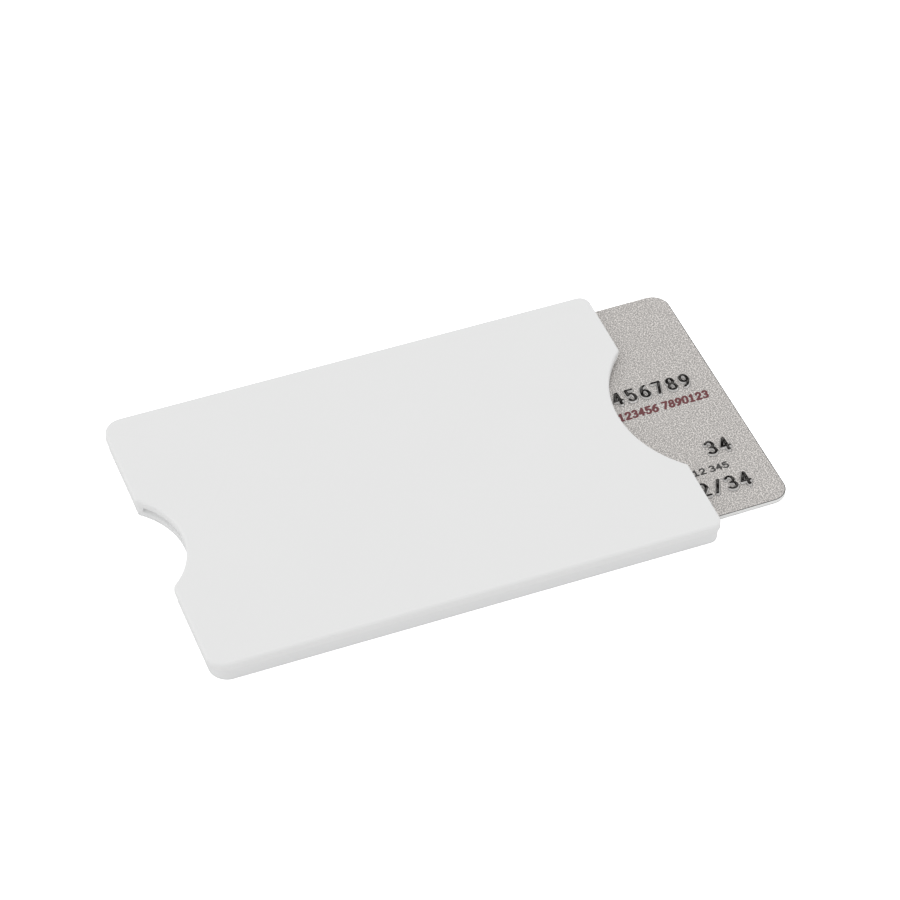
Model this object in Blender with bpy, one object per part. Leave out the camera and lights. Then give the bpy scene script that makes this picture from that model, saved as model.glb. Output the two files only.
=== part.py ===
"""Rigid two-shell card case with a standard ID-1 card sliding in it.

Metres, +Z up. The origin is the middle of the case's underside, +X runs towards the open mouth
and +Y towards the far long side. The case is sized round the card that it carries: slot, walls,
cut-outs and overall length all follow from the card and a few walls and clearances.
"""

import math

import bmesh
import bpy
from mathutils import Vector

MM = 0.001

# Card, ISO/IEC 7810 ID-1
CARD_LENGTH = 85.60 * MM
CARD_WIDTH = 53.98 * MM
CARD_THICKNESS = 0.76 * MM
CARD_CORNER_RADIUS = 3.18 * MM
CARD_EDGE_BREAK = 0.06 * MM

# How the card lies in its slot
SIDE_PLAY = 0.81 * MM        # slot wall to card, each side, card square
SIDE_CLEARANCE = 0.38 * MM   # what is left of it with the card turned
FLOOR_CLEARANCE = 0.20 * MM  # under the card
HEADROOM = 0.39 * MM         # card face to the parting plane, room for raised characters
HOME_CLEARANCE = 0.30 * MM   # card to the end wall when pushed home
MOUTH_RECESS = 3.15 * MM     # card end inside the mouth when pushed home
CARD_SHOWING = 13.85 * MM    # card past the mouth as the model stands

# Walls of the two shells
SIDE_WALL = 2.35 * MM
END_WALL = 0.80 * MM
BASE_FLOOR = 1.20 * MM
COVER_THICKNESS = 1.55 * MM
COVER_RELIEF = 0.15 * MM     # shallow pocket under the cover, over the slot
END_OVERHANG = 0.35 * MM     # cover past the base at both end faces
CUT_OVERHANG = 0.25 * MM     # cover past the base round the cut-outs

# Outline and edges
CLOSED_CORNER_RADIUS = 3.40 * MM
MOUTH_CORNER_RADIUS = 2.00 * MM
DRAFT_ANGLE = math.radians(2.0)  # each shell narrows away from the parting line
TOP_FILLET = 0.50 * MM
BOTTOM_FILLET = 0.30 * MM
CUT_TIP_RADIUS = 0.85 * MM   # rounded horns where a cut-out meets the end face

# Half-moon cut-outs, as chord along the end face and depth into the case
MOUTH_CUT_CHORD = 29.9 * MM
MOUTH_CUT_DEPTH = 6.45 * MM
PUSH_CUT_CHORD = 20.8 * MM
PUSH_CUT_DEPTH = 4.95 * MM

# Slot details
SLOT_CORNER_RADIUS = 1.50 * MM
MOUTH_FLARE = 0.60 * MM      # how far each slot wall opens at the mouth
MOUTH_FLARE_LENGTH = 3.50 * MM
MOUTH_CHAMFER = 0.40 * MM    # lead-in on floor and cover at the mouth

# Weld joint between the shells: a tongue under the cover in a groove in the base's side wall
TONGUE_WIDTH = 0.50 * MM
TONGUE_HEIGHT = 0.50 * MM
TONGUE_CLEARANCE = 0.30 * MM
TONGUE_END_INSET = 5.00 * MM  # from the end faces to the groove's ends

# Segments
CORNER_SEGMENTS = 12
TIP_SEGMENTS = 6
CUT_SEGMENTS = 40
FILLET_SEGMENTS = 4

# Worked out from the above
SLOT_HALF_WIDTH = CARD_WIDTH / 2 + SIDE_PLAY
CASE_WIDTH = 2 * (SLOT_HALF_WIDTH + SIDE_WALL)
CASE_LENGTH = END_OVERHANG + END_WALL + HOME_CLEARANCE + CARD_LENGTH + MOUTH_RECESS
PARTING_HEIGHT = BASE_FLOOR + FLOOR_CLEARANCE + CARD_THICKNESS + HEADROOM
CASE_THICKNESS = PARTING_HEIGHT + COVER_THICKNESS
CLOSED_END = -CASE_LENGTH / 2
MOUTH_END = CASE_LENGTH / 2
SLOT_END = CLOSED_END + END_OVERHANG + END_WALL
BASE_MOUTH = MOUTH_END - END_OVERHANG
CARD_YAW = math.asin((SIDE_PLAY - SIDE_CLEARANCE) / (CARD_LENGTH / 2 - CARD_CORNER_RADIUS))
WELD_LINE = SLOT_HALF_WIDTH + SIDE_WALL / 2
CUTTER_MARGIN = 1.0 * MM     # how far a cutter stands past what it cuts


def clear_scene():
    for obj in list(bpy.data.objects):
        bpy.data.objects.remove(obj, do_unlink=True)


def make_material(name, color, roughness, metallic=0.0):
    material = bpy.data.materials.new(name)
    material.use_nodes = True
    shader = material.node_tree.nodes["Principled BSDF"]
    shader.inputs["Base Color"].default_value = (*color, 1.0)
    shader.inputs["Roughness"].default_value = roughness
    shader.inputs["Metallic"].default_value = metallic
    return material


def arc(centre, radius, start, end, segments):
    """Points on an arc, ends included; angles in radians, either direction."""
    steps = [start + (end - start) * i / segments for i in range(segments + 1)]
    return [(centre[0] + radius * math.cos(a), centre[1] + radius * math.sin(a)) for a in steps]


def cut_circle(end, chord, depth):
    """Centre distance from the case's middle, and radius, of a cut-out in the cover."""
    radius = (chord * chord / 4 + depth * depth) / (2 * depth)
    return end - depth + radius, radius


def end_points(end, corner_radius, chord, depth, end_inset, cut_inset, lean):
    """One end of a shell, from the -Y side to the +Y side, as it looks at the +X end.

    end_inset moves the end face back, and cut_inset the rim of the cut-out. lean then draws the
    whole outline in evenly: arcs keep their centres, so the walls between two leans are flat.
    """
    face = end - end_inset
    circle_x, circle_radius = cut_circle(end, chord, depth)
    circle_radius += cut_inset
    corner_x = face - corner_radius
    corner_y = CASE_WIDTH / 2 - corner_radius
    corner = corner_radius - lean
    tip_x = face - CUT_TIP_RADIUS
    reach = circle_radius + CUT_TIP_RADIUS
    tip_y = math.sqrt(reach * reach - (circle_x - tip_x) ** 2)
    tip_turn = math.atan2(tip_y, circle_x - tip_x)
    tip = CUT_TIP_RADIUS - lean
    rim = circle_radius + lean
    quarter = math.pi / 2
    points = arc((corner_x, -corner_y), corner, -quarter, 0.0, CORNER_SEGMENTS)
    points += arc((tip_x, -tip_y), tip, 0.0, tip_turn, TIP_SEGMENTS)
    points += arc((circle_x, 0.0), rim, math.pi + tip_turn, math.pi - tip_turn, CUT_SEGMENTS)[1:-1]
    points += arc((tip_x, tip_y), tip, -tip_turn, 0.0, TIP_SEGMENTS)
    points += arc((corner_x, corner_y), corner, 0.0, quarter, CORNER_SEGMENTS)
    return points


def shell_outline(end_inset, cut_inset, lean):
    """Plan outline of a shell, counter-clockwise, with the same insets at both ends."""
    insets = (end_inset, cut_inset, lean)
    mouth = end_points(MOUTH_END, MOUTH_CORNER_RADIUS, MOUTH_CUT_CHORD, MOUTH_CUT_DEPTH, *insets)
    closed = end_points(-CLOSED_END, CLOSED_CORNER_RADIUS, PUSH_CUT_CHORD, PUSH_CUT_DEPTH, *insets)
    return mouth + [(-x, -y) for x, y in closed]


def slot_outline():
    """Plan outline of the card slot, run out past the mouth, its walls flared there."""
    radius = SLOT_CORNER_RADIUS
    half = SLOT_HALF_WIDTH
    inner = SLOT_END + radius
    flare_start = BASE_MOUTH - MOUTH_FLARE_LENGTH
    run_out = MOUTH_END + CUTTER_MARGIN
    slope = MOUTH_FLARE / MOUTH_FLARE_LENGTH
    wide = half + slope * (run_out - flare_start)
    points = [(flare_start, -half), (run_out, -wide), (run_out, wide), (flare_start, half)]
    points += arc((inner, half - radius), radius, math.pi / 2, math.pi, CORNER_SEGMENTS)
    points += arc((inner, radius - half), radius, math.pi, 1.5 * math.pi, CORNER_SEGMENTS)
    return points


def card_outline():
    x = CARD_LENGTH / 2 - CARD_CORNER_RADIUS
    y = CARD_WIDTH / 2 - CARD_CORNER_RADIUS
    corners = [((x, -y), -0.5), ((x, y), 0.0), ((-x, y), 0.5), ((-x, -y), 1.0)]
    points = []
    for centre, turn in corners:
        start = turn * math.pi
        points += arc(centre, CARD_CORNER_RADIUS, start, start + math.pi / 2, CORNER_SEGMENTS)
    return points


def prism(outline, low, high):
    """bmesh of a closed outline extruded from one height to another."""
    bm = bmesh.new()
    face = bm.faces.new([bm.verts.new((x, y, low)) for x, y in outline])
    side = bmesh.ops.extrude_face_region(bm, geom=[face])
    top = [v for v in side["geom"] if isinstance(v, bmesh.types.BMVert)]
    bmesh.ops.translate(bm, verts=top, vec=(0.0, 0.0, high - low))
    bmesh.ops.recalc_face_normals(bm, faces=bm.faces)
    return bm


def tapered(low_outline, high_outline, low, high):
    """bmesh of a closed body between two outlines that have the same number of points."""
    bm = bmesh.new()
    loops = []
    for outline, height in ((low_outline, low), (high_outline, high)):
        face = bm.faces.new([bm.verts.new((x, y, height)) for x, y in outline])
        loops += face.edges
    bmesh.ops.bridge_loops(bm, edges=loops)
    bmesh.ops.recalc_face_normals(bm, faces=bm.faces)
    return bm


def round_rim(bm, height, radius, segments):
    """Round every edge that lies at one height."""
    rim = [e for e in bm.edges if all(abs(v.co.z - height) < 1e-7 for v in e.verts)]
    bmesh.ops.bevel(bm, geom=rim, offset=radius, offset_type='OFFSET', affect='EDGES',
                    segments=segments, profile=0.5, clamp_overlap=False, material=-1)


def add_object(name, bm, material=None, smooth_angle=30.0):
    mesh = bpy.data.meshes.new(name)
    bm.to_mesh(mesh)
    bm.free()
    if material:
        mesh.materials.append(material)
        mesh.shade_smooth()
        mesh.set_sharp_from_angle(angle=math.radians(smooth_angle))
    obj = bpy.data.objects.new(name, mesh)
    bpy.context.scene.collection.objects.link(obj)
    return obj


def add_cutter(name, bm):
    cutter = add_object(name, bm)
    cutter.hide_render = True
    cutter.display_type = 'WIRE'
    return cutter


def combine(obj, cutter, operation):
    modifier = obj.modifiers.new(cutter.name, 'BOOLEAN')
    modifier.operation = operation
    modifier.solver = 'EXACT'
    modifier.object = cutter


def lead_in(name, height, direction):
    """Wedge that breaks the edge of the slot's floor or roof at the mouth."""
    start = BASE_MOUTH - MOUTH_CHAMFER
    end = MOUTH_END + CUTTER_MARGIN
    rise = (end - start) * direction
    bm = bmesh.new()
    profile = [(start, height), (end, height + rise), (end, height - CUTTER_MARGIN * direction),
               (start, height - CUTTER_MARGIN * direction)]
    face = bm.faces.new([bm.verts.new((x, -SLOT_HALF_WIDTH, z)) for x, z in profile])
    side = bmesh.ops.extrude_face_region(bm, geom=[face])
    far = [v for v in side["geom"] if isinstance(v, bmesh.types.BMVert)]
    bmesh.ops.translate(bm, verts=far, vec=(0.0, 2 * SLOT_HALF_WIDTH, 0.0))
    bmesh.ops.recalc_face_normals(bm, faces=bm.faces)
    return add_cutter(name, bm)


def weld_bar(side, width, low, high, end_inset):
    """Long bar with round ends on one weld line; side is -1 or 1."""
    half = CASE_LENGTH / 2 - end_inset - width / 2
    y = side * WELD_LINE
    points = arc((half, y), width / 2, -math.pi / 2, math.pi / 2, CORNER_SEGMENTS)
    points += arc((-half, y), width / 2, math.pi / 2, 1.5 * math.pi, CORNER_SEGMENTS)
    return prism(points, low, high)


def build_base(material):
    """Lower shell: floor, side walls and end wall round an open-topped slot."""
    lean = PARTING_HEIGHT * math.tan(DRAFT_ANGLE)
    underside = shell_outline(END_OVERHANG, CUT_OVERHANG, lean)
    rim = shell_outline(END_OVERHANG, CUT_OVERHANG, 0.0)
    bm = tapered(underside, rim, 0.0, PARTING_HEIGHT)
    round_rim(bm, 0.0, BOTTOM_FILLET, FILLET_SEGMENTS)
    base = add_object("base_shell", bm, material)
    slot = add_cutter("slot_cutter", prism(slot_outline(), BASE_FLOOR, PARTING_HEIGHT + CUTTER_MARGIN))
    combine(base, slot, 'DIFFERENCE')
    combine(base, lead_in("floor_lead_in", BASE_FLOOR, -1), 'DIFFERENCE')
    groove_width = TONGUE_WIDTH + 2 * TONGUE_CLEARANCE
    groove_floor = PARTING_HEIGHT - TONGUE_HEIGHT - TONGUE_CLEARANCE
    for side, label in ((-1, "near"), (1, "far")):
        bar = weld_bar(side, groove_width, groove_floor, PARTING_HEIGHT + CUTTER_MARGIN, TONGUE_END_INSET)
        combine(base, add_cutter(f"groove_cutter_{label}", bar), 'DIFFERENCE')
    return base


def build_cover(material):
    """Upper shell: flat lid with a rounded top edge, cut-outs, slot relief and two weld tongues."""
    lean = COVER_THICKNESS * math.tan(DRAFT_ANGLE)
    rim = shell_outline(0.0, 0.0, 0.0)
    top = shell_outline(0.0, 0.0, lean)
    bm = tapered(rim, top, PARTING_HEIGHT, CASE_THICKNESS)
    round_rim(bm, CASE_THICKNESS, TOP_FILLET, FILLET_SEGMENTS)
    cover = add_object("cover_shell", bm, material)
    roof = PARTING_HEIGHT + COVER_RELIEF
    relief = add_cutter("relief_cutter", prism(slot_outline(), PARTING_HEIGHT - CUTTER_MARGIN, roof))
    combine(cover, relief, 'DIFFERENCE')
    combine(cover, lead_in("roof_lead_in", roof, 1), 'DIFFERENCE')
    root = COVER_THICKNESS / 2
    inset = TONGUE_END_INSET + TONGUE_CLEARANCE
    for side, label in ((-1, "near"), (1, "far")):
        bar = weld_bar(side, TONGUE_WIDTH, PARTING_HEIGHT - TONGUE_HEIGHT, PARTING_HEIGHT + root, inset)
        combine(cover, add_cutter(f"tongue_{label}", bar), 'UNION')
    return cover


def build_card(material):
    """Plain plastic card, its origin at its middle, carried by the slide's empty."""
    slide = bpy.data.objects.new("card_slide", None)
    bpy.context.scene.collection.objects.link(slide)
    turned_half = CARD_LENGTH / 2 * math.cos(CARD_YAW)
    height = BASE_FLOOR + FLOOR_CLEARANCE + CARD_THICKNESS / 2
    slide.location = Vector((MOUTH_END + CARD_SHOWING - turned_half, 0.0, height))
    bm = prism(card_outline(), -CARD_THICKNESS / 2, CARD_THICKNESS / 2)
    round_rim(bm, CARD_THICKNESS / 2, CARD_EDGE_BREAK, 1)
    round_rim(bm, -CARD_THICKNESS / 2, CARD_EDGE_BREAK, 1)
    card = add_object("card", bm, material)
    card.parent = slide
    card.rotation_euler = (0.0, 0.0, CARD_YAW)
    return card


def main():
    clear_scene()
    white = make_material("white_moulding", (0.80, 0.80, 0.79), 0.45)
    silver = make_material("silver_card", (0.52, 0.50, 0.47), 0.50, 0.15)
    build_base(white)
    build_cover(white.copy())
    build_card(silver)


main()
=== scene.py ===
import math

import bmesh
import bpy
import numpy as np
from mathutils import Matrix, Vector


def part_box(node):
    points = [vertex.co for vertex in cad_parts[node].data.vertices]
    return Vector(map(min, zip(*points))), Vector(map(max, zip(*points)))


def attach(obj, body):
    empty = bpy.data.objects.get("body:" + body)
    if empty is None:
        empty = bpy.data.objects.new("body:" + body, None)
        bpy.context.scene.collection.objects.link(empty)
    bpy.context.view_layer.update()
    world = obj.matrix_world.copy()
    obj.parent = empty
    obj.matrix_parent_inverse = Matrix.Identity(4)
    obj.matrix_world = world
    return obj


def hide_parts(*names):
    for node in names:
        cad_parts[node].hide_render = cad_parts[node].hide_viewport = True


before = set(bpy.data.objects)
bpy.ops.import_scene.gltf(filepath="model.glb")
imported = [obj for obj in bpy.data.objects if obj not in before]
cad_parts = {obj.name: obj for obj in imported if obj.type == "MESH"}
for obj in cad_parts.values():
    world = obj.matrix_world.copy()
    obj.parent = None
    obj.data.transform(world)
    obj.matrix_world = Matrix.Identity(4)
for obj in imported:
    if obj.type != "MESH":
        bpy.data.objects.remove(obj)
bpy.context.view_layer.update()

scene = bpy.context.scene
mm = 0.001
baseLow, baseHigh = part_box("base_shell")
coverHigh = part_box("cover_shell")[1]
cardLow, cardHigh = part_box("card")
partingHeight = baseHigh[2]
mergeReach = 1e-6            # metres, points this close are joined
sameLevel = 1e-7             # metres, heights this close count as one
onPlane = 1e-8               # metres, points this close to a cutting plane lie on it
print("frame loaded:", sorted(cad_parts))


# Helpers for nodes and pieces

def addNode(tree, kind, sockets=None, **settings):   # a socket's value is a number, a colour or an output
    node = tree.nodes.new(kind)
    for name, value in settings.items():
        setattr(node, name, value)
    for name, value in (sockets or {}).items():
        if isinstance(value, bpy.types.NodeSocket):
            tree.links.new(value, node.inputs[name])
        else:
            node.inputs[name].default_value = value
    return node


def calculate(tree, operation, *values):
    return addNode(tree, "ShaderNodeMath", dict(enumerate(values)), operation=operation).outputs["Value"]


def ramp(tree, value, start, end, low=0.0, high=1.0):
    sockets = {"Value": value, "From Min": start, "From Max": end, "To Min": low, "To Max": high}
    return addNode(tree, "ShaderNodeMapRange", sockets, interpolation_type='SMOOTHSTEP').outputs["Result"]


def above(tree, value, limit, soft):                 # 1 past a limit, with a soft edge
    return ramp(tree, value, limit - soft, limit + soft)


def below(tree, value, limit, soft):
    return ramp(tree, value, limit - soft, limit + soft, 1.0, 0.0)


def between(tree, value, limits, soft):
    low, high = limits
    return calculate(tree, 'MULTIPLY', above(tree, value, low, soft), below(tree, value, high, soft))


def blend(tree, factor, first, second, mode='MIX'):
    sockets = {"Factor": factor, "A": first, "B": second}
    return addNode(tree, "ShaderNodeMix", sockets, data_type='RGBA', blend_type=mode).outputs["Result"]


def attribute(tree, name, output):                   # a value that the mesh carries on its vertices
    return addNode(tree, "ShaderNodeAttribute", attribute_name=name).outputs[output]


def newGroup(name, inputs, outputs):                 # works on a place and numbers, and gives numbers
    group = bpy.data.node_groups.new(name, 'ShaderNodeTree')
    group.interface.new_socket(name="Vector", in_out='INPUT', socket_type='NodeSocketVector')
    for label, value in inputs.items():
        socket = group.interface.new_socket(name=label, in_out='INPUT', socket_type='NodeSocketFloat')
        socket.default_value = value
    for label in outputs:
        group.interface.new_socket(name=label, in_out='OUTPUT', socket_type='NodeSocketFloat')
    given = group.nodes.new("NodeGroupInput")
    result = group.nodes.new("NodeGroupOutput")
    return group, given.outputs, result.inputs


def useGroup(tree, group, place, values):
    node = addNode(tree, "ShaderNodeGroup", node_tree=group)
    tree.links.new(place, node.inputs["Vector"])
    for name, value in values.items():
        node.inputs[name].default_value = value
    return node.outputs


def addBump(tree, shader, height, depth):
    bump = addNode(tree, "ShaderNodeBump", {"Height": height, "Strength": 1.0, "Distance": depth})
    tree.links.new(bump.outputs["Normal"], shader["Normal"])


def newPiece(name, bm):
    mesh = bpy.data.meshes.new(name)
    bm.to_mesh(mesh)
    bm.free()
    piece = bpy.data.objects.new(name, mesh)
    scene.collection.objects.link(piece)
    return piece


# View and studio

cameraView = {
    "place": (-0.15069, -0.40936, 0.44860),
    "target": (0.00929, 0.00440, 0.00200),
    "roll": 0.100,           # degrees, lifts the right side of the frame
    "lens": 147.38,          # mm
    "sensor": 36.0,
    "clipStart": 0.01,
}

studio = {
    "tent": 0.78,            # light from all round
    "sideBoxes": 0.49,       # long soft boxes to the left and right
    "backBox": 0.05,         # a little more from behind than from the camera's side
    "floorTone": 0.87,
    "floorGlow": 1.00,       # seen by the camera only, keeps the sweep white right up to the case
    "floorSize": 30.0,
    "keyPlace": (-0.45, 0.35, 0.90),
    "keyAim": (0.0, 0.0, 0.0),
    "keySize": 0.60,
    "keyPower": 0.5,
}


def aimAt(place, target):                            # placed at one point and looking at another
    turn = (Vector(target) - Vector(place)).to_track_quat('-Z', 'Y').to_matrix().to_4x4()
    return Matrix.Translation(place) @ turn


def makeCamera(view):
    data = bpy.data.cameras.new("viewCamera")
    data.sensor_width = view["sensor"]
    data.lens = view["lens"]
    data.clip_start = view["clipStart"]
    data.dof.use_dof = False
    camera = bpy.data.objects.new("viewCamera", data)
    scene.collection.objects.link(camera)
    roll = Matrix.Rotation(math.radians(view["roll"]), 4, 'Z')
    camera.matrix_world = aimAt(view["place"], view["target"]) @ roll
    scene.camera = camera


def makeTent(values):                                # soft white light, stronger from the left and right
    world = bpy.data.worlds.new("studioWorld")
    world.use_nodes = True
    tree = world.node_tree
    back = tree.nodes["Background"].inputs
    back["Color"].default_value = (1.0, 1.0, 1.0, 1.0)
    direction = addNode(tree, "ShaderNodeTexCoord").outputs["Generated"]
    parts = addNode(tree, "ShaderNodeSeparateXYZ", {"Vector": direction}).outputs
    sideways = calculate(tree, 'ABSOLUTE', parts["X"])
    boxes = calculate(tree, 'MULTIPLY_ADD', sideways, values["sideBoxes"], values["tent"])
    tree.links.new(calculate(tree, 'MULTIPLY_ADD', parts["Y"], values["backBox"], boxes), back["Strength"])
    scene.world = world


def makeFloor(values):
    bm = bmesh.new()
    bmesh.ops.create_grid(bm, x_segments=2, y_segments=2, size=values["floorSize"] / 2)
    floor = newPiece("floor", bm)
    material = bpy.data.materials.new("paleFloor")
    material.use_nodes = True
    tree = material.node_tree
    shader = tree.nodes["Principled BSDF"].inputs
    shader["Base Color"].default_value = (values["floorTone"],) * 3 + (1.0,)
    shader["Roughness"].default_value = 1.0
    shader["Specular IOR Level"].default_value = 0.0
    shader["Emission Color"].default_value = (1.0, 1.0, 1.0, 1.0)
    seen = addNode(tree, "ShaderNodeLightPath").outputs["Is Camera Ray"]
    tree.links.new(calculate(tree, 'MULTIPLY', seen, values["floorGlow"]), shader["Emission Strength"])
    floor.data.materials.append(material)


def makeKey(values):
    data = bpy.data.lights.new("softKey", 'AREA')
    data.shape = 'DISK'
    data.size = values["keySize"]
    data.energy = values["keyPower"]
    key = bpy.data.objects.new("softKey", data)
    key.matrix_world = aimAt(values["keyPlace"], values["keyAim"])
    scene.collection.objects.link(key)


makeCamera(cameraView)
makeTent(studio)
makeFloor(studio)
makeKey(studio)
scene.view_settings.view_transform = 'Standard'
print("camera and studio set")


# Mesh helpers

def turnPoint(bm, point, centre, angle, steps):      # sweeps one point into an arc
    swept = bmesh.ops.spin(bm, geom=[point], cent=centre, axis=(0.0, 0.0, 1.0), dvec=(0.0, 0.0, 0.0),
                           angle=angle, steps=steps, use_merge=False, use_normal_flip=False,
                           use_duplicate=False)
    return swept["geom_last"][0]


def runTo(bm, point, place):                         # straight edge from a point to a place
    drawn = bmesh.ops.extrude_vert_indiv(bm, verts=[point])
    drawn["verts"][0].co = place
    return drawn["verts"][0]


def mirrorHalf(bm, known):                           # closes a half outline across the Y plane
    half = [v for v in bm.verts if v not in known]
    edges = [e for e in bm.edges if e.verts[0] not in known and e.verts[1] not in known]
    bmesh.ops.mirror(bm, geom=half + edges, matrix=Matrix.Identity(4), merge_dist=mergeReach, axis='Y')
    return [e for e in bm.edges if e.verts[0] not in known and e.verts[1] not in known]


def loft(bm, loops):                                 # walls between edge loops, ends filled
    for lower, upper in zip(loops, loops[1:]):
        bmesh.ops.bridge_loops(bm, edges=lower + upper)
    bmesh.ops.edgeloop_fill(bm, edges=loops[0])
    bmesh.ops.edgeloop_fill(bm, edges=loops[-1])
    bmesh.ops.recalc_face_normals(bm, faces=bm.faces)


def roundEdges(bm, edges, radius, segments):
    bmesh.ops.bevel(bm, geom=edges, offset=radius, offset_type='OFFSET', affect='EDGES',
                    segments=segments, profile=0.5, clamp_overlap=False, material=-1)


def levelEdges(bm, height):                          # every edge that lies at one height
    return [e for e in bm.edges if all(abs(v.co.z - height) < sameLevel for v in e.verts)]


def applyModifiers(piece):
    depsgraph = bpy.context.evaluated_depsgraph_get()
    mesh = bpy.data.meshes.new_from_object(piece.evaluated_get(depsgraph))
    old = piece.data
    piece.modifiers.clear()
    piece.data = mesh
    mesh.name = piece.name
    bpy.data.meshes.remove(old)


def carve(piece, cutter, operation='DIFFERENCE'):    # boolean with a helper body, then drops it
    cut = piece.modifiers.new("cut", 'BOOLEAN')
    cut.operation = operation
    cut.solver = 'EXACT'
    cut.object = cutter
    applyModifiers(piece)
    bpy.data.objects.remove(cutter, do_unlink=True)


def softenEdges(piece, width, segments, angle):      # small moulded radius on every sharp edge
    soften = piece.modifiers.new("soften", 'BEVEL')
    soften.width = width
    soften.segments = segments
    soften.limit_method = 'ANGLE'
    soften.angle_limit = math.radians(angle)
    applyModifiers(piece)


def shadeSmooth(piece, angle):                       # flats stay flat right up to their rounded edges
    piece.data.shade_smooth()
    piece.data.set_sharp_from_angle(angle=math.radians(angle))
    even = piece.modifiers.new("evenNormals", 'WEIGHTED_NORMAL')
    even.mode = 'FACE_AREA'
    even.keep_sharp = True
    applyModifiers(piece)


# Shape of the case, both shells

cardSize = {                      # ISO/IEC 7810 ID-1
    "length": 85.60 * mm,
    "width": 53.98 * mm,
    "cornerRadius": 3.18 * mm,
}

caseForm = {
    "mouthCorner": 2.00 * mm,
    "closedCorner": 3.40 * mm,
    "tipRadius": 0.85 * mm,       # horns where a cut-out meets the end face
    "mouthChord": 29.9 * mm,
    "mouthDepth": 6.45 * mm,
    "pushChord": 20.8 * mm,
    "pushDepth": 4.95 * mm,
    "cutOverhang": 0.25 * mm,     # cover past the base round the cut-outs
    "draft": 2.0,                 # degrees, each shell narrows away from the parting line
    "cornerSteps": 18,
    "tipSteps": 12,
    "cutSteps": 48,               # half of one cut-out
    "partingRadius": 0.04 * mm,
    "partingSegments": 2,
    "sharpAngle": 30.0,           # degrees, edges past it get the parting radius
    "smoothAngle": 40.0,
}


def cutOut(setBack, cutBack, edge, chord, depth):    # circle of a cut-out and of the horn beside it
    end = coverHigh[0]
    tipRadius = caseForm["tipRadius"]
    radius = (chord * chord / 4 + depth * depth) / (2 * depth)
    centre = end - depth + radius
    radius += cutBack
    tipX = end - setBack - tipRadius
    tipY = math.sqrt((radius + tipRadius) ** 2 - (centre - tipX) ** 2)
    turn = math.atan2(tipY, centre - tipX)
    return centre, radius + edge, tipX, tipY, turn


def shellOutline(bm, height, setBack, cutBack, edge):
    # setBack and cutBack move the end faces and the cut-outs in; edge then draws the whole outline in
    known = set(bm.verts)
    form = caseForm
    end = coverHigh[0] - setBack
    tip = form["tipRadius"] - edge
    centre, radius, tipX, tipY, turn = cutOut(setBack, cutBack, edge, form["mouthChord"],
                                              form["mouthDepth"])
    point = bm.verts.new((centre - radius, 0.0, height))
    point = turnPoint(bm, point, (centre, 0.0, height), -turn, form["cutSteps"])
    point = turnPoint(bm, point, (tipX, tipY, height), turn, form["tipSteps"])
    radius = form["mouthCorner"]
    cornerX, cornerY = end - radius, coverHigh[1] - radius
    point = runTo(bm, point, (end - edge, cornerY, height))
    point = turnPoint(bm, point, (cornerX, cornerY, height), math.pi / 2, form["cornerSteps"])
    radius = form["closedCorner"]
    cornerX, cornerY = radius - end, coverHigh[1] - radius
    point = runTo(bm, point, (cornerX, coverHigh[1] - edge, height))
    point = turnPoint(bm, point, (cornerX, cornerY, height), math.pi / 2, form["cornerSteps"])
    centre, radius, tipX, tipY, turn = cutOut(setBack, cutBack, edge, form["pushChord"],
                                              form["pushDepth"])
    point = runTo(bm, point, (-tipX - tip, tipY, height))
    point = turnPoint(bm, point, (-tipX, tipY, height), turn, form["tipSteps"])
    turnPoint(bm, point, (-centre, 0.0, height), -turn, form["cutSteps"])
    return mirrorHalf(bm, known)


slotForm = {
    "cardSidePlay": 0.81 * mm,
    "endWall": 0.80 * mm,
    "floor": 1.20 * mm,
    "relief": 0.15 * mm,          # pocket under the cover, over the card
    "cornerRadius": 1.50 * mm,
    "cornerSteps": 12,
    "flare": 0.60 * mm,
    "flareLength": 3.50 * mm,
    "chamfer": 0.40 * mm,
    "margin": 1.0 * mm,           # cutters stand this far past what they cut
}


def slotOutline(bm, height):
    known = set(bm.verts)
    form = slotForm
    half = cardSize["width"] / 2 + form["cardSidePlay"]
    radius = form["cornerRadius"]
    inner = baseLow[0] + form["endWall"]
    flareStart = baseHigh[0] - form["flareLength"]
    runOut = coverHigh[0] + form["margin"]
    wide = half + form["flare"] / form["flareLength"] * (runOut - flareStart)
    point = bm.verts.new((runOut, 0.0, height))
    point = runTo(bm, point, (runOut, wide, height))
    point = runTo(bm, point, (flareStart, half, height))
    point = runTo(bm, point, (inner + radius, half, height))
    corner = (inner + radius, half - radius, height)
    point = turnPoint(bm, point, corner, math.pi / 2, form["cornerSteps"])
    runTo(bm, point, (inner, 0.0, height))
    return mirrorHalf(bm, known)


def slotCutter(low, high):
    bm = bmesh.new()
    loft(bm, [slotOutline(bm, low), slotOutline(bm, high)])
    return newPiece("slotCutter", bm)


def leadInCutter(height, direction):                 # breaks the floor's or roof's edge at the mouth
    form = slotForm
    start = baseHigh[0] - form["chamfer"]
    end = coverHigh[0] + form["margin"]
    half = cardSize["width"] / 2 + form["cardSidePlay"]
    back = height - form["margin"] * direction
    bm = bmesh.new()
    point = bm.verts.new((start, -half, height))
    corners = [(end, -half, height + (end - start) * direction), (end, -half, back),
               (start, -half, back)]
    first = point
    for corner in corners:
        point = runTo(bm, point, corner)
    bm.edges.new((point, first))
    face = bmesh.ops.edgeloop_fill(bm, edges=bm.edges[:])["faces"][0]
    pushed = bmesh.ops.extrude_face_region(bm, geom=[face])
    far = [v for v in pushed["geom"] if isinstance(v, bmesh.types.BMVert)]
    bmesh.ops.translate(bm, verts=far, vec=(0.0, 2 * half, 0.0))
    bmesh.ops.recalc_face_normals(bm, faces=bm.faces)
    return newPiece("leadInCutter", bm)


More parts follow.
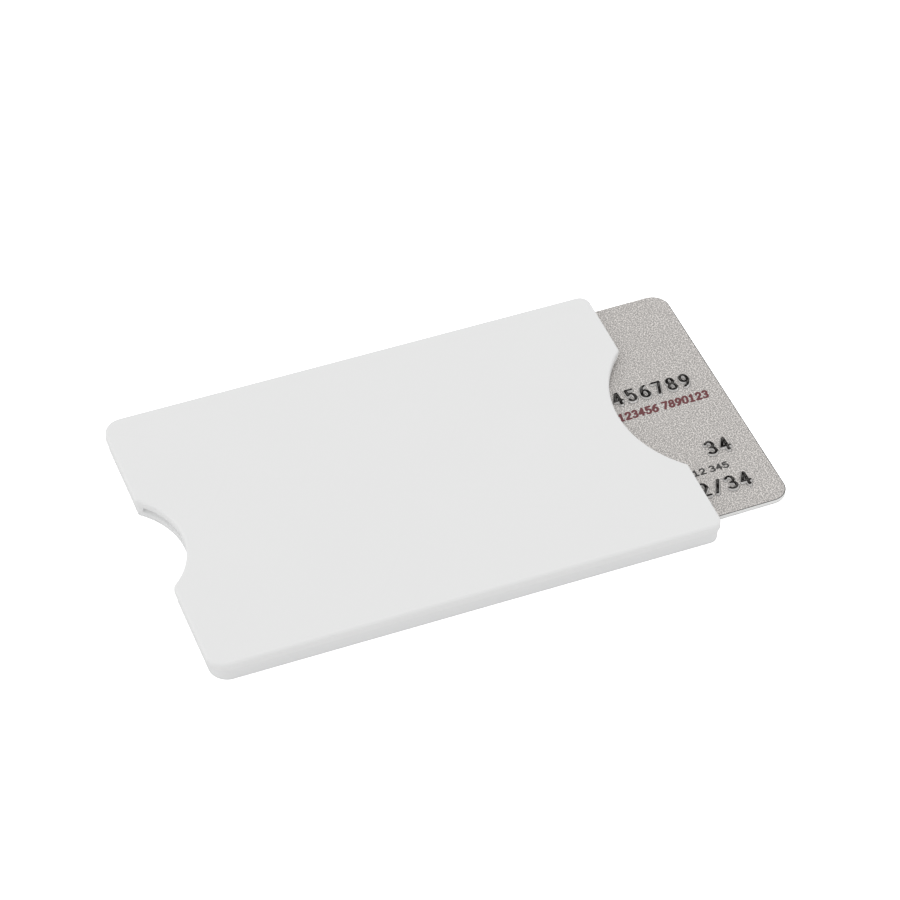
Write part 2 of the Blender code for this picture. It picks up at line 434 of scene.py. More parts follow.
weldForm = {
    "width": 0.50 * mm,           # tongue under the cover
    "height": 0.50 * mm,
    "clearance": 0.30 * mm,
    "endInset": 5.00 * mm,
    "steps": 10,
}


def weldBar(side, width, low, high, inset):          # long bar with round ends on one weld line
    half = coverHigh[0] - inset - width / 2
    line = side * (cardSize["width"] / 2 + slotForm["cardSidePlay"] + coverHigh[1]) / 2
    bm = bmesh.new()
    loops = []
    for height in (low, high):
        first = point = bm.verts.new((half, line - width / 2, height))
        before = len(bm.edges)
        point = turnPoint(bm, point, (half, line, height), math.pi, weldForm["steps"])
        point = runTo(bm, point, (-half, line + width / 2, height))
        point = turnPoint(bm, point, (-half, line, height), math.pi, weldForm["steps"])
        bm.edges.new((point, first))
        bm.edges.ensure_lookup_table()
        loops.append(bm.edges[before:])
    loft(bm, loops)
    return newPiece("weldBar", bm)


coverForm = {
    "topRadius": 0.50 * mm,
    "topSegments": 10,
}

baseForm = {
    "bottomRadius": 0.30 * mm,
    "bottomSegments": 6,
}


def makeCover():
    form = caseForm
    top = coverHigh[2]
    lean = (top - partingHeight) * math.tan(math.radians(form["draft"]))
    bm = bmesh.new()
    loft(bm, [shellOutline(bm, partingHeight, 0.0, 0.0, 0.0), shellOutline(bm, top, 0.0, 0.0, lean)])
    roundEdges(bm, levelEdges(bm, top), coverForm["topRadius"], coverForm["topSegments"])
    cover = newPiece("coverMoulding", bm)
    roof = partingHeight + slotForm["relief"]
    carve(cover, slotCutter(partingHeight - slotForm["margin"], roof))
    carve(cover, leadInCutter(roof, 1))
    inset = weldForm["endInset"] + weldForm["clearance"]
    low, middle = partingHeight - weldForm["height"], (top + partingHeight) / 2
    for side in (-1, 1):
        carve(cover, weldBar(side, weldForm["width"], low, middle, inset), 'UNION')
    return cover


def makeBase():
    form = caseForm
    lean = partingHeight * math.tan(math.radians(form["draft"]))
    setBack, cutBack = coverHigh[0] - baseHigh[0], form["cutOverhang"]
    bm = bmesh.new()
    loft(bm, [shellOutline(bm, 0.0, setBack, cutBack, lean),
              shellOutline(bm, partingHeight, setBack, cutBack, 0.0)])
    roundEdges(bm, levelEdges(bm, 0.0), baseForm["bottomRadius"], baseForm["bottomSegments"])
    base = newPiece("baseMoulding", bm)
    high = partingHeight + slotForm["margin"]
    carve(base, slotCutter(slotForm["floor"], high))
    carve(base, leadInCutter(slotForm["floor"], -1))
    width = weldForm["width"] + 2 * weldForm["clearance"]
    low = partingHeight - weldForm["height"] - weldForm["clearance"]
    for side in (-1, 1):
        carve(base, weldBar(side, width, low, high, weldForm["endInset"]))
    return base


coverMoulding = makeCover()
baseMoulding = makeBase()
for shell in (coverMoulding, baseMoulding):
    softenEdges(shell, caseForm["partingRadius"], caseForm["partingSegments"], caseForm["sharpAngle"])
    shadeSmooth(shell, caseForm["smoothAngle"])
print("shells built:", len(coverMoulding.data.polygons), len(baseMoulding.data.polygons), "faces")


# Card, one closed body with raised characters that are sunk on its back

cardForm = {
    "cornerSegments": 14,
    "rimRadius": 0.06 * mm,
    "rimSegments": 2,
    "smoothAngle": 50.0,
    "relief": 0.40 * mm,
    "strokeHalf": 0.20 * mm,      # half width of a raised stroke's flat top
    "flank": 0.17 * mm,
    "foilShift": (-0.02 * mm, 0.05 * mm),  # of the foil on the raised strokes
    "spaceWidth": 0.45,           # of the row's pitch
    "frontCuts": 35,              # finer grid in each half cell of a raised character
    "backCuts": 13,
    "inkCuts": 14,                # and of a printed one
    "farAway": 9.0,               # mm, stands for no stroke near
    "bowStep": 12.0,              # degrees in each straight run of a bow
    "leastSteps": 6,
    "flatNormal": 0.99,           # a flat face's upward share is past this
    "edgeNormal": 0.50,           # and that of a face on the edge is short of this
}

# kind is raised, or the layer that a printed row goes to. inset runs from the card's end to the right
# character's centre, wide stretches a character, slant leans it, and band is the height of the fine grid
cardRows = [
    {"kind": "raised", "text": "4567890123456789", "inset": 5.50 * mm, "height": 4.88 * mm,
     "tall": 2.70 * mm, "wide": 0.80, "slant": 0.0, "pitch": 2.54 * mm, "band": 3.80 * mm},
    {"kind": "raised", "text": "34", "inset": 5.60 * mm, "height": -11.87 * mm,
     "tall": 2.80 * mm, "wide": 0.86, "slant": 0.0, "pitch": 2.54 * mm, "band": 3.80 * mm},
    {"kind": "raised", "text": "12/34", "inset": 5.80 * mm, "height": -20.65 * mm,
     "tall": 2.80 * mm, "wide": 0.86, "slant": 0.0, "pitch": 2.54 * mm, "band": 3.80 * mm},
    {"kind": "redGap", "text": "123456 7890123", "inset": 3.50 * mm, "height": 0.73 * mm,
     "tall": 1.55 * mm, "wide": 0.88, "slant": 0.17, "pitch": 1.27 * mm, "band": 2.60 * mm},
    {"kind": "greyGap", "text": "012 345", "inset": 7.42 * mm, "height": -16.24 * mm,
     "tall": 1.22 * mm, "wide": 1.20, "slant": 0.0, "pitch": 1.25 * mm, "band": 1.80 * mm},
]

fullTurn = 360
# A run has its two ends, a bow its centre, its radii and where it starts and ends in degrees
strokeTable = {
    "0": [("bow", 0, .21, .29, .29, 0, 180), ("run", -.29, .21, -.29, -.21),
          ("bow", 0, -.21, .29, .29, 180, fullTurn), ("run", .29, -.21, .29, .21)],
    "1": [("run", 0, .5, 0, -.5), ("run", 0, .5, -.2, .3), ("run", -.2, -.5, .2, -.5)],
    "2": [("bow", 0, .22, .28, .28, 170, -30), ("run", .243, .08, -.28, -.5),
          ("run", -.28, -.5, .29, -.5)],
    "3": [("bow", -.02, .25, .27, .25, 150, -90), ("bow", -.02, -.25, .30, .25, 90, -150)],
    "4": [("run", .12, .5, -.3, -.18), ("run", -.3, -.18, .32, -.18), ("run", .12, .5, .12, -.5)],
    "5": [("run", .26, .5, -.24, .5), ("run", -.24, .5, -.24, .05),
          ("bow", -.02, -.18, .30, .32, 137, -150)],
    "6": [("bow", 0, -.2, .29, .3, 0, fullTurn), ("bow", .29, -.2, .58, .7, 100, 180)],
    "7": [("run", -.29, .5, .29, .5), ("run", .29, .5, -.08, -.5)],
    "8": [("bow", 0, .26, .24, .24, 0, fullTurn), ("bow", 0, -.24, .29, .26, 0, fullTurn)],
    "9": [("bow", 0, .2, .29, .3, 0, fullTurn), ("bow", -.29, .2, .58, .7, -80, 0)],
    "/": [("run", -.26, -.5, .26, .5)],
}


def strokeRuns(glyph, row):                          # every stroke of a character as short straight runs
    runs = []
    for stroke in strokeTable[glyph]:
        if stroke[0] == "run":
            runs.append(stroke[1:])
            continue
        x, y, wide, tall, start, end = stroke[1:]
        steps = max(cardForm["leastSteps"], round(abs(end - start) / cardForm["bowStep"]))
        turns = np.radians(np.linspace(start, end, steps + 1))
        xs, ys = x + wide * np.cos(turns), y + tall * np.sin(turns)
        runs.extend(zip(xs[:-1], ys[:-1], xs[1:], ys[1:]))
    runs = np.array(runs)
    runs[:, 0::2] = runs[:, 0::2] * row["wide"] + runs[:, 1::2] * row["slant"]
    return runs * row["tall"]


def strokeDistance(points, runs):                    # distance from each point to the nearest stroke
    start, end = runs[:, :2], runs[:, 2:]
    along = end - start
    offset = points[:, None, :] - start[None]
    share = (offset * along).sum(axis=2) / (along * along).sum(axis=1)
    nearest = offset - np.clip(share, 0.0, 1.0)[..., None] * along
    return np.sqrt((nearest * nearest).sum(axis=2)).min(axis=1)


def rowGaps(row, points):                            # the same for a whole row of characters
    gaps = np.full(len(points), cardForm["farAway"] * mm)
    for x, glyph in rowPlaces(row):
        near = np.abs(points[:, 0] - x) < row["pitch"]
        local = points[near] - np.array((x, row["height"]))
        gaps[near] = np.minimum(gaps[near], strokeDistance(local, strokeRuns(glyph, row)))
    return gaps


def rowPlaces(row):                                  # middle of each character, from the card's end inwards
    x = cardSize["length"] / 2 - row["inset"]
    places = []
    for glyph in reversed(row["text"]):
        if glyph == " ":
            x -= row["pitch"] * cardForm["spaceWidth"]
            continue
        places.append((x, glyph))
        x -= row["pitch"]
    return places


def smoothFall(distance, flat, flank):               # 1 on the flat top, easing to 0 past the flank
    t = np.clip((flat + flank - distance) / flank, 0.0, 1.0)
    return t * t * (3.0 - 2.0 * t)


def cardTurn():                                      # how far the card is turned, from its box
    a = cardSize["length"] / 2 - cardSize["cornerRadius"]
    b = cardSize["width"] / 2 - cardSize["cornerRadius"]
    reach = (cardHigh[1] - cardLow[1]) / 2 - cardSize["cornerRadius"]
    return math.asin(reach / math.hypot(a, b)) - math.atan2(b, a)


cardPlace = (Matrix.Translation(((cardLow[0] + cardHigh[0]) / 2, (cardLow[1] + cardHigh[1]) / 2,
                                 (cardLow[2] + cardHigh[2]) / 2)) @ Matrix.Rotation(cardTurn(), 4, 'Z'))
cardThickness = cardHigh[2] - cardLow[2]


def splitBand(bm, faces, place, normal):
    around = set(faces)
    for face in faces:
        around.update(face.edges)
        around.update(face.verts)
    bmesh.ops.bisect_plane(bm, geom=list(around), dist=onPlane, plane_co=place, plane_no=normal)


def flatFaces(bm, side, low=-math.inf, high=math.inf):   # of the front or back, between two heights
    flat = [face for face in bm.faces if face.normal.z * side > cardForm["flatNormal"]]
    return [face for face in flat if low < face.calc_center_median().y < high]


def gridRow(bm, row, side, cuts):                    # two fine cells for each character, above each other
    low, high = row["height"] - row["band"] / 2, row["height"] + row["band"] / 2
    for edge in (low, row["height"], high):
        splitBand(bm, flatFaces(bm, side), (0.0, edge, 0.0), (0.0, 1.0, 0.0))
    middles = [place[0] for place in rowPlaces(row)]
    places = [middles[0] + row["pitch"] / 2]
    for x, following in zip(middles, middles[1:] + [middles[-1] - row["pitch"]]):
        places.append((x + following) / 2)
    for x in places:
        splitBand(bm, flatFaces(bm, side, low, high), (x, 0.0, 0.0), (1.0, 0.0, 0.0))
    edges = set()
    for face in flatFaces(bm, side, low, high):
        if places[-1] < face.calc_center_median().x < places[0]:
            edges.update(face.edges)
    bmesh.ops.subdivide_edges(bm, edges=list(edges), cuts=cuts, use_grid_fill=True)


def makeCard():
    form = cardForm
    half = cardThickness / 2
    bm = bmesh.new()
    bmesh.ops.create_cube(bm, size=1.0)
    bmesh.ops.scale(bm, verts=bm.verts, vec=(cardSize["length"], cardSize["width"], cardThickness))
    upright = [e for e in bm.edges if abs(e.verts[0].co.z - e.verts[1].co.z) > half]
    roundEdges(bm, upright, cardSize["cornerRadius"], form["cornerSegments"])
    for level in (half, -half):
        roundEdges(bm, levelEdges(bm, level), form["rimRadius"], form["rimSegments"])
    for row in cardRows:
        if row["kind"] == "raised":
            gridRow(bm, row, 1, form["frontCuts"])
            gridRow(bm, row, -1, form["backCuts"])
        else:
            gridRow(bm, row, 1, form["inkCuts"])

    layers = {}
    for name in ("foilGap", "reliefGap", "redGap", "greyGap"):
        layers[name] = bm.verts.layers.float.new(name)
    planLayer = bm.verts.layers.float_vector.new("cardPlan")
    for v in bm.verts:
        v[planLayer] = v.co
        for layer in layers.values():
            v[layer] = form["farAway"]
    for row in cardRows:
        reach = row["band"] / 2 + sameLevel
        level = [v for v in bm.verts if abs(abs(v.co.z) - half) < sameLevel]
        inside = [v for v in level if abs(v.co.y - row["height"]) <= reach]
        points = np.array([v.co[:2] for v in inside])
        gaps = rowGaps(row, points)
        if row["kind"] != "raised":
            for v, gap in zip(inside, gaps):
                if v.co.z > 0:
                    v[layers[row["kind"]]] = gap / mm
            continue
        shifted = rowGaps(row, points - np.array(form["foilShift"]))
        raised = smoothFall(gaps, form["strokeHalf"], form["flank"]) * form["relief"]
        for v, gap, foil, rise in zip(inside, gaps, shifted, raised):
            if v.co.z > 0:
                v[layers["reliefGap"]] = gap / mm
                v[layers["foilGap"]] = foil / mm
            v.co.z += rise

    for face in bm.faces:                            # front and back skin, and the core at the edge
        steep = abs(face.normal.z) < form["edgeNormal"] and max(abs(v.co.z) for v in face.verts) < half
        face.material_index = 1 if steep else (0 if face.calc_center_median().z > 0 else 2)
    bmesh.ops.transform(bm, matrix=cardPlace, verts=bm.verts)
    return newPiece("embossedCard", bm)


embossedCard = makeCard()
shadeSmooth(embossedCard, cardForm["smoothAngle"])
print("card built:", len(embossedCard.data.polygons), "faces")


# Finishes: shared effects as node groups, then one material for each surface

grainForm = {
    "grainDetail": 3.0,
    "grainRoughness": 0.6,
    "flowDetail": 2.0,
}


def makeFineGrain():                                 # moulded grain over slow flow marks
    group, given, result = newGroup(
        "fineGrain", {"Grain Size": 0.25 * mm, "Flow Size": 14.0 * mm, "Tone Spread": 0.01,
                      "Roughness": 0.5, "Roughness Spread": 0.05}, ("Tone", "Roughness", "Height"))
    grainScale = calculate(group, 'DIVIDE', 1.0, given["Grain Size"])
    flowScale = calculate(group, 'DIVIDE', 1.0, given["Flow Size"])
    grain = addNode(group, "ShaderNodeTexNoise", {
        "Vector": given["Vector"], "Scale": grainScale, "Detail": grainForm["grainDetail"],
        "Roughness": grainForm["grainRoughness"]}).outputs["Fac"]
    flow = addNode(group, "ShaderNodeTexNoise", {
        "Vector": given["Vector"], "Scale": flowScale, "Detail": grainForm["flowDetail"]}).outputs["Fac"]
    both = calculate(group, 'ADD', calculate(group, 'SUBTRACT', grain, 0.5),
                     calculate(group, 'SUBTRACT', flow, 0.5))
    group.links.new(calculate(group, 'MULTIPLY_ADD', both, given["Tone Spread"], 1.0), result["Tone"])
    uneven = calculate(group, 'MULTIPLY_ADD', both, given["Roughness Spread"], given["Roughness"])
    group.links.new(uneven, result["Roughness"])
    group.links.new(grain, result["Height"])
    return group


handlingForm = {
    "turns": (0.45, -0.95),       # radians, the hairlines' two directions
    "streakScale": 0.5,
    "streakLimits": (0.80, 0.86),  # the noise turns into a line between these
    "speckLimits": (0.62, 1.0),   # specks grow from nothing to full size with their cell's own number
    "speckShare": 0.2,            # radius of a speck of size 1, in cells
}


def makeHandling():                                  # hairlines in two directions, and a few specks
    group, given, result = newGroup(
        "handling", {"Hairline Length": 9.0 * mm, "Hairline Width": 0.12 * mm,
                     "Speck Spacing": 7.0 * mm, "Speck Size": 0.10}, ("Hairlines", "Specks"))
    hairlines = None
    for turn in handlingForm["turns"]:
        turned = addNode(group, "ShaderNodeMapping", {"Vector": given["Vector"],
                                                      "Rotation": (0.0, 0.0, turn)})
        parts = addNode(group, "ShaderNodeSeparateXYZ", {"Vector": turned.outputs["Vector"]}).outputs
        lengthways = calculate(group, 'DIVIDE', parts["X"], given["Hairline Length"])
        across = calculate(group, 'DIVIDE', parts["Y"], given["Hairline Width"])
        upwards = calculate(group, 'DIVIDE', parts["Z"], given["Hairline Width"])
        stretched = addNode(group, "ShaderNodeCombineXYZ", {"X": lengthways, "Y": across, "Z": upwards})
        streak = addNode(group, "ShaderNodeTexNoise", {
            "Vector": stretched.outputs["Vector"], "Scale": handlingForm["streakScale"],
            "Detail": 0.0}).outputs["Fac"]
        line = ramp(group, streak, *handlingForm["streakLimits"])
        hairlines = line if hairlines is None else calculate(group, 'MAXIMUM', hairlines, line)
    spots = addNode(group, "ShaderNodeTexVoronoi", {
        "Vector": given["Vector"], "Scale": calculate(group, 'DIVIDE', 1.0, given["Speck Spacing"])})
    few = addNode(group, "ShaderNodeSeparateColor", {"Color": spots.outputs["Color"]}).outputs["Red"]
    size = calculate(group, 'MULTIPLY', given["Speck Size"], ramp(group, few, *handlingForm["speckLimits"]))
    size = calculate(group, 'MULTIPLY', size, handlingForm["speckShare"])
    speck = calculate(group, 'LESS_THAN', spots.outputs["Distance"], size)
    group.links.new(hairlines, result["Hairlines"])
    group.links.new(speck, result["Specks"])
    return group


flakeForm = {
    "ridgeLimits": (0.16, 0.68),  # from a stipple's middle to its ridge, in cells
    "brightLimits": (0.90, 1.0),  # few flakes are polished
}


def makeFlakes():                                    # tiny flakes with their own tones, over an even stipple
    group, given, result = newGroup(
        "flakes", {"Flake Size": 0.16 * mm, "Tone Spread": 0.20, "Stipple Size": 0.30 * mm,
                   "Stipple Spread": 0.30, "Stipple Randomness": 0.70}, ("Tone", "Bright"))
    cells = addNode(group, "ShaderNodeTexVoronoi", {
        "Vector": given["Vector"], "Scale": calculate(group, 'DIVIDE', 1.0, given["Flake Size"])})
    shades = addNode(group, "ShaderNodeSeparateColor", {"Color": cells.outputs["Color"]}).outputs
    uneven = calculate(group, 'SUBTRACT', calculate(group, 'ADD', shades["Red"], shades["Green"]), 1.0)
    stipple = addNode(group, "ShaderNodeTexVoronoi", {
        "Vector": given["Vector"], "Scale": calculate(group, 'DIVIDE', 1.0, given["Stipple Size"]),
        "Randomness": given["Stipple Randomness"]}, voronoi_dimensions='2D')
    ridge = ramp(group, stipple.outputs["Distance"], *flakeForm["ridgeLimits"], -1.0, 1.0)
    stippled = calculate(group, 'MULTIPLY_ADD', ridge, given["Stipple Spread"], 1.0)
    group.links.new(calculate(group, 'MULTIPLY_ADD', uneven, given["Tone Spread"], stippled), result["Tone"])
    group.links.new(ramp(group, shades["Blue"], *flakeForm["brightLimits"]), result["Bright"])
    return group


def makePaintedSlotGlow():                                 # mask of a painted glow: 1 on the slot's walls behind the notch, fading inwards
    group, given, result = newGroup(
        "paintedSlotGlow", {"End": 0.0, "Reach": 10.0 * mm, "Half Width": 0.0, "Floor": 0.0, "Roof": 0.0},
        ("Inside",))
    parts = addNode(group, "ShaderNodeSeparateXYZ", {"Vector": given["Vector"]}).outputs
    sideways = calculate(group, 'ABSOLUTE', parts["Y"])
    depth = calculate(group, 'DIVIDE', calculate(group, 'SUBTRACT', parts["X"], given["End"]), given["Reach"])
    fade = ramp(group, depth, 1.0, 2.0, 1.0, 0.0)    # full for one reach, gone after two
    inside = calculate(group, 'MULTIPLY', fade, calculate(group, 'GREATER_THAN', depth, 0.0))
    for value, operation, limit in ((sideways, 'LESS_THAN', "Half Width"),
                                    (parts["Z"], 'GREATER_THAN', "Floor"),
                                    (parts["Z"], 'LESS_THAN', "Roof")):
        inside = calculate(group, 'MULTIPLY', inside, calculate(group, operation, value, given[limit]))
    group.links.new(inside, result["Inside"])
    return group


fineGrain = makeFineGrain()
handling = makeHandling()
flakes = makeFlakes()
paintedSlotGlow = makePaintedSlotGlow()


def newMaterial(name):
    material = bpy.data.materials.new(name)
    material.use_nodes = True
    tree = material.node_tree
    place = addNode(tree, "ShaderNodeTexCoord").outputs["Object"]
    return material, tree, tree.nodes["Principled BSDF"].inputs, place


coverFinish = {
    "color": (0.768, 0.770, 0.768, 1.0),
    "markColor": (0.60, 0.60, 0.59, 1.0),
    "hairlines": 0.05,
    "specks": 0.5,
    "paintedSlotGlow": 0.118,           # painted glow standing in for light through the thin walls, seen in the notch
    "glowReach": 10.0 * mm,
    "glowMargin": 0.01 * mm,
    "grainDepth": 0.004 * mm,
    "grain": {"Grain Size": 0.30 * mm, "Flow Size": 14.0 * mm, "Tone Spread": 0.012,
              "Roughness": 0.46, "Roughness Spread": 0.10},
    "marks": {"Hairline Length": 11.0 * mm, "Hairline Width": 0.10 * mm,
              "Speck Spacing": 8.0 * mm, "Speck Size": 0.10},
}

baseFinish = {
    "color": (0.750, 0.753, 0.754, 1.0),
    "markColor": (0.56, 0.56, 0.55, 1.0),
    "hairlines": 0.10,            # the underside rubs on what it lies on
    "specks": 0.5,
    "paintedSlotGlow": 0.118,           # painted glow standing in for light through the thin walls, seen in the notch
    "glowReach": 10.0 * mm,
    "glowMargin": 0.01 * mm,
    "grainDepth": 0.005 * mm,
    "grain": {"Grain Size": 0.34 * mm, "Flow Size": 18.0 * mm, "Tone Spread": 0.016,
              "Roughness": 0.50, "Roughness Spread": 0.12},
    "marks": {"Hairline Length": 8.0 * mm, "Hairline Width": 0.12 * mm,
              "Speck Spacing": 7.0 * mm, "Speck Size": 0.12},
}


def mouldedPlastic(name, values):
    material, tree, shader, place = newMaterial(name)
    grain = useGroup(tree, fineGrain, place, values["grain"])
    marks = useGroup(tree, handling, place, values["marks"])
    toned = blend(tree, 1.0, values["color"], grain["Tone"], 'MULTIPLY')
    worn = calculate(tree, 'MULTIPLY', marks["Hairlines"], values["hairlines"])
    spots = calculate(tree, 'MULTIPLY', marks["Specks"], values["specks"])
    marked = blend(tree, calculate(tree, 'MAXIMUM', worn, spots), toned, values["markColor"])
    tree.links.new(marked, shader["Base Color"])
    tree.links.new(grain["Roughness"], shader["Roughness"])
    edge = values["glowMargin"]
    half = cardSize["width"] / 2 + slotForm["cardSidePlay"] + slotForm["flare"]
    # painted glow: emission on the slot's walls behind the notch stands in for light through the thin walls
    inside = useGroup(tree, paintedSlotGlow, place, {
        "End": baseLow[0] + slotForm["endWall"] - edge, "Reach": values["glowReach"],
        "Half Width": half + edge, "Floor": slotForm["floor"] - edge,
        "Roof": partingHeight + slotForm["relief"] + edge})
    tree.links.new(inside["Inside"], shader["Emission Color"])
    shader["Emission Strength"].default_value = values["paintedSlotGlow"]
    addBump(tree, shader, grain["Height"], values["grainDepth"])
    return material


skinFinish = {
    "color": (0.510, 0.488, 0.469, 1.0),
    "roughness": 0.42,
    "brightRoughness": -0.12,     # added on the few polished flakes
    "metallic": 0.30,
    "flakes": {"Flake Size": 0.07 * mm, "Tone Spread": 0.52, "Stipple Size": 0.30 * mm,
               "Stipple Spread": 0.37, "Stipple Randomness": 0.70},
    "flakeDepth": 0.003 * mm,
    "redInk": (0.130, 0.024, 0.028, 1.0),
    "redHalf": 0.225,             # mm, half width of a printed stroke
    "greyInk": (0.036, 0.034, 0.032, 1.0),
    "greyHalf": 0.17,
    "soft": 0.02,                 # mm, softness of an ink edge
    "foil": (0.003, 0.002, 0.002, 1.0),
    "foilWorn": (0.12, 0.115, 0.11, 1.0),
    "foilHalf": 0.26,
    "wearSize": 0.80 * mm,
    "wearDetail": 4.0,
    "wearRoughness": 0.7,
    "wornLimits": (0.44, 0.58),
    "middleReach": (0.03, 0.14),  # mm, the foil is worn most along a stroke's middle
    "sideWear": 0.25,
    # the flanks of the raised strokes are painted lighter, partly paler stretched ink and partly painted
    # highlight, with painted glints picked out by the noise
    "paintedGlintLimits": (0.54, 0.64),
    "flankStretchAndHighlight": (0.60, 0.59, 0.58, 1.0),
    "flankPaintedGlint": (0.92, 0.91, 0.90, 1.0),
    "footShadeReach": (0.38, 0.46),     # mm from the stroke, a painted shade line where its flank meets the card
    "footShadeColor": (0.07, 0.067, 0.063, 1.0),
    "printShift": 0.07 * mm,      # the print lies this far off centre, away from the near side
    "printEdge": 0.15 * mm,       # dark line along its border
    "printLine": (0.03, 0.029, 0.028, 1.0),
    "bare": (0.80, 0.80, 0.79, 1.0),
    "borderSoft": 0.01 * mm,
    "marks": {"Hairline Length": 6.0 * mm, "Hairline Width": 0.10 * mm,
              "Speck Spacing": 5.0 * mm, "Speck Size": 0.06},
    "hairlines": 0.12,
    "hairlineColor": (0.75, 0.75, 0.75, 1.0),
}


def printReach(tree, shift):                         # how far a place lies past the print's border
    radius = cardSize["cornerRadius"]
    inner = (cardSize["length"] / 2 - radius, cardSize["width"] / 2 - radius, cardThickness)
    place = attribute(tree, "cardPlan", "Vector")
    for operation, other in (('SUBTRACT', (0.0, shift, 0.0)), ('ABSOLUTE', None), ('SUBTRACT', inner),
                             ('MAXIMUM', (0.0, 0.0, 0.0))):
        sockets = {0: place} if other is None else {0: place, 1: other}
        place = addNode(tree, "ShaderNodeVectorMath", sockets, operation=operation).outputs["Vector"]
    reach = addNode(tree, "ShaderNodeVectorMath", {0: place}, operation='LENGTH').outputs["Value"]
    return calculate(tree, 'SUBTRACT', reach, radius)


def silverFront(values):
    material, tree, shader, place = newMaterial("silverFront")
    grain = useGroup(tree, flakes, place, values["flakes"])
    marks = useGroup(tree, handling, place, values["marks"])
    skin = blend(tree, 1.0, values["color"], grain["Tone"], 'MULTIPLY')
    scratched = calculate(tree, 'MULTIPLY', marks["Hairlines"], values["hairlines"])
    skin = blend(tree, scratched, skin, values["hairlineColor"])
    soft = values["soft"]
    red = below(tree, attribute(tree, "redGap", "Fac"), values["redHalf"], soft)
    grey = below(tree, attribute(tree, "greyGap", "Fac"), values["greyHalf"], soft)
    skin = blend(tree, red, skin, values["redInk"])
    skin = blend(tree, grey, skin, values["greyInk"])

    foilGap = attribute(tree, "foilGap", "Fac")
    reliefGap = attribute(tree, "reliefGap", "Fac")
    foil = below(tree, foilGap, values["foilHalf"], soft)
    # this noise wears the foil and also places the painted glints on the flanks
    wearAndGlint = addNode(tree, "ShaderNodeTexNoise", {
        "Vector": place, "Scale": 1.0 / values["wearSize"], "Detail": values["wearDetail"],
        "Roughness": values["wearRoughness"]}).outputs["Fac"]
    # painted highlight on the flanks of the raised strokes, with painted glints
    flank = blend(tree, ramp(tree, wearAndGlint, *values["paintedGlintLimits"]), values["flankStretchAndHighlight"], values["flankPaintedGlint"])
    skin = blend(tree, below(tree, reliefGap, values["footShadeReach"][0], soft), skin, flank)
    # painted shade line at the foot of each raised stroke
    skin = blend(tree, between(tree, reliefGap, values["footShadeReach"], soft), skin, values["footShadeColor"])
    middle = ramp(tree, foilGap, *values["middleReach"], 1.0, values["sideWear"])
    worn = calculate(tree, 'MULTIPLY', ramp(tree, wearAndGlint, *values["wornLimits"]), middle)
    skin = blend(tree, foil, skin, blend(tree, worn, values["foil"], values["foilWorn"]))

    reach = printReach(tree, values["printShift"])
    border = above(tree, reach, -values["printEdge"], values["borderSoft"])
    skin = blend(tree, border, skin, values["printLine"])
    bare = above(tree, reach, 0.0, values["borderSoft"])
    tree.links.new(blend(tree, bare, skin, values["bare"]), shader["Base Color"])
    inked = calculate(tree, 'MAXIMUM', calculate(tree, 'MAXIMUM', red, grey), border)
    dry = calculate(tree, 'MULTIPLY', calculate(tree, 'SUBTRACT', 1.0, inked), values["metallic"])
    tree.links.new(calculate(tree, 'MAXIMUM', dry, foil), shader["Metallic"])
    rough = calculate(tree, 'MULTIPLY_ADD', grain["Bright"], values["brightRoughness"], values["roughness"])
    tree.links.new(rough, shader["Roughness"])
    addBump(tree, shader, grain["Tone"], values["flakeDepth"])
    return material


edgeFinish = {
    "core": (0.80, 0.80, 0.79, 1.0),
    "under": (0.26, 0.26, 0.26, 1.0),
    "underDepth": 0.12 * mm,      # darker band along the bottom of the edge
    "unevenness": 1.2 * mm,       # times the grain's tone, waves the border between them
    "soft": 0.02 * mm,
    "grain": {"Grain Size": 0.20 * mm, "Flow Size": 1.2 * mm, "Tone Spread": 0.10,
              "Roughness": 0.60, "Roughness Spread": 0.10},
    "grainDepth": 0.006 * mm,
}


def layeredEdge(values):                             # white core, darker in a band along its bottom
    material, tree, shader, place = newMaterial("layeredEdge")
    grain = useGroup(tree, fineGrain, place, values["grain"])
    height = addNode(tree, "ShaderNodeSeparateXYZ", {"Vector": place}).outputs["Z"]
    wave = calculate(tree, 'MULTIPLY', calculate(tree, 'SUBTRACT', grain["Tone"], 1.0), values["unevenness"])
    height = calculate(tree, 'ADD', height, wave)
    core = blend(tree, 1.0, values["core"], grain["Tone"], 'MULTIPLY')
    under = below(tree, height, cardLow[2] + values["underDepth"], values["soft"])
    tree.links.new(blend(tree, under, core, values["under"]), shader["Base Color"])
    tree.links.new(grain["Roughness"], shader["Roughness"])
    addBump(tree, shader, grain["Height"], values["grainDepth"])
    return material


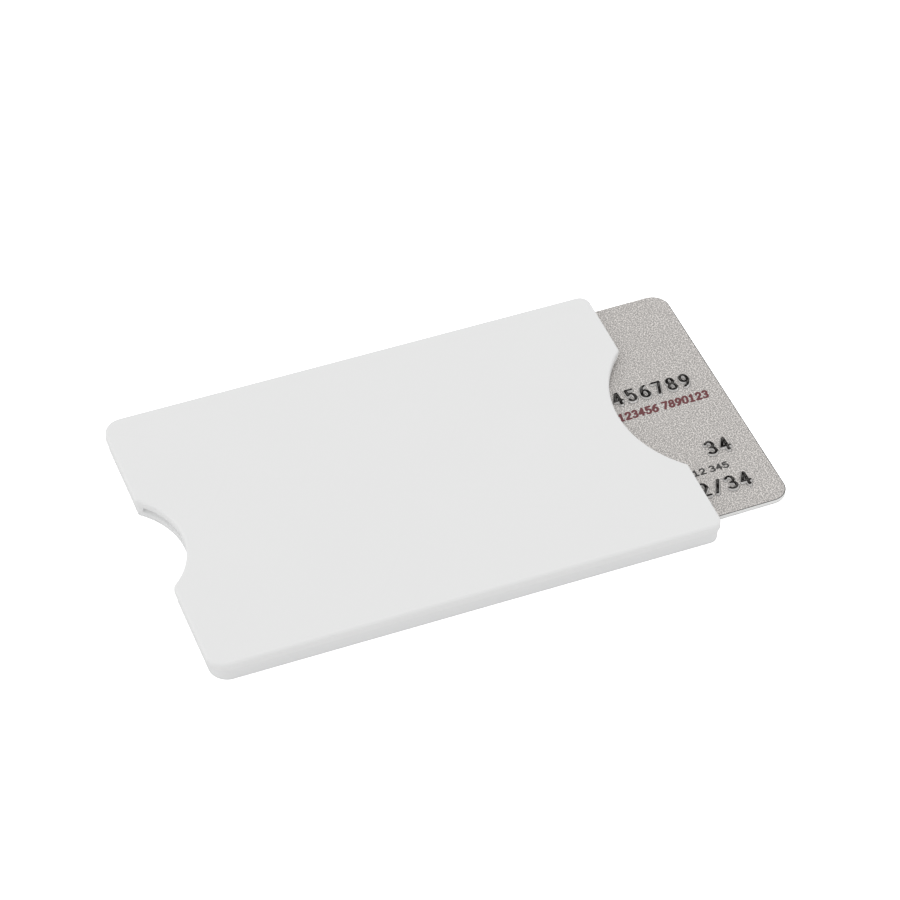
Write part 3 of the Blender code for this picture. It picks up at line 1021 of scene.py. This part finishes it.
backFinish = {
    "color": (0.62, 0.61, 0.59, 1.0),
    "stripe": (0.018, 0.016, 0.015, 1.0),
    "stripeLimits": (11.0 * mm, 22.5 * mm),  # magnetic stripe, from the card's middle line
    "stripeSoft": 0.02 * mm,
    "metallic": 0.12,
    "grainDepth": 0.003 * mm,
    "grain": {"Grain Size": 0.15 * mm, "Flow Size": 9.0 * mm, "Tone Spread": 0.06,
              "Roughness": 0.40, "Roughness Spread": 0.10},
    "marks": {"Hairline Length": 14.0 * mm, "Hairline Width": 0.10 * mm,
              "Speck Spacing": 5.0 * mm, "Speck Size": 0.06},
    "hairlines": 0.25,
    "hairlineColor": (0.40, 0.40, 0.39, 1.0),
}


def stripedBack(values):
    material, tree, shader, place = newMaterial("stripedBack")
    grain = useGroup(tree, fineGrain, place, values["grain"])
    marks = useGroup(tree, handling, place, values["marks"])
    plan = attribute(tree, "cardPlan", "Vector")
    across = addNode(tree, "ShaderNodeSeparateXYZ", {"Vector": plan}).outputs["Y"]
    stripe = between(tree, across, values["stripeLimits"], values["stripeSoft"])
    toned = blend(tree, 1.0, values["color"], grain["Tone"], 'MULTIPLY')
    color = blend(tree, stripe, toned, values["stripe"])
    worn = calculate(tree, 'MULTIPLY', marks["Hairlines"], values["hairlines"])
    tree.links.new(blend(tree, worn, color, values["hairlineColor"]), shader["Base Color"])
    tree.links.new(grain["Roughness"], shader["Roughness"])
    shader["Metallic"].default_value = values["metallic"]
    addBump(tree, shader, grain["Height"], values["grainDepth"])
    return material


def dress(piece, *materials):
    piece.data.materials.clear()
    for material in materials:
        piece.data.materials.append(material)


dress(coverMoulding, mouldedPlastic("coverPlastic", coverFinish))
dress(baseMoulding, mouldedPlastic("basePlastic", baseFinish))
cardIndexes = [face.material_index for face in embossedCard.data.polygons]   # clearing materials resets them
dress(embossedCard, silverFront(skinFinish), layeredEdge(edgeFinish), stripedBack(backFinish))
embossedCard.data.polygons.foreach_set("material_index", cardIndexes)
print("finishes made")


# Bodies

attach(coverMoulding, "case")
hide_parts("cover_shell")
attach(baseMoulding, "case")
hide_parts("base_shell")
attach(embossedCard, "card")
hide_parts("card")
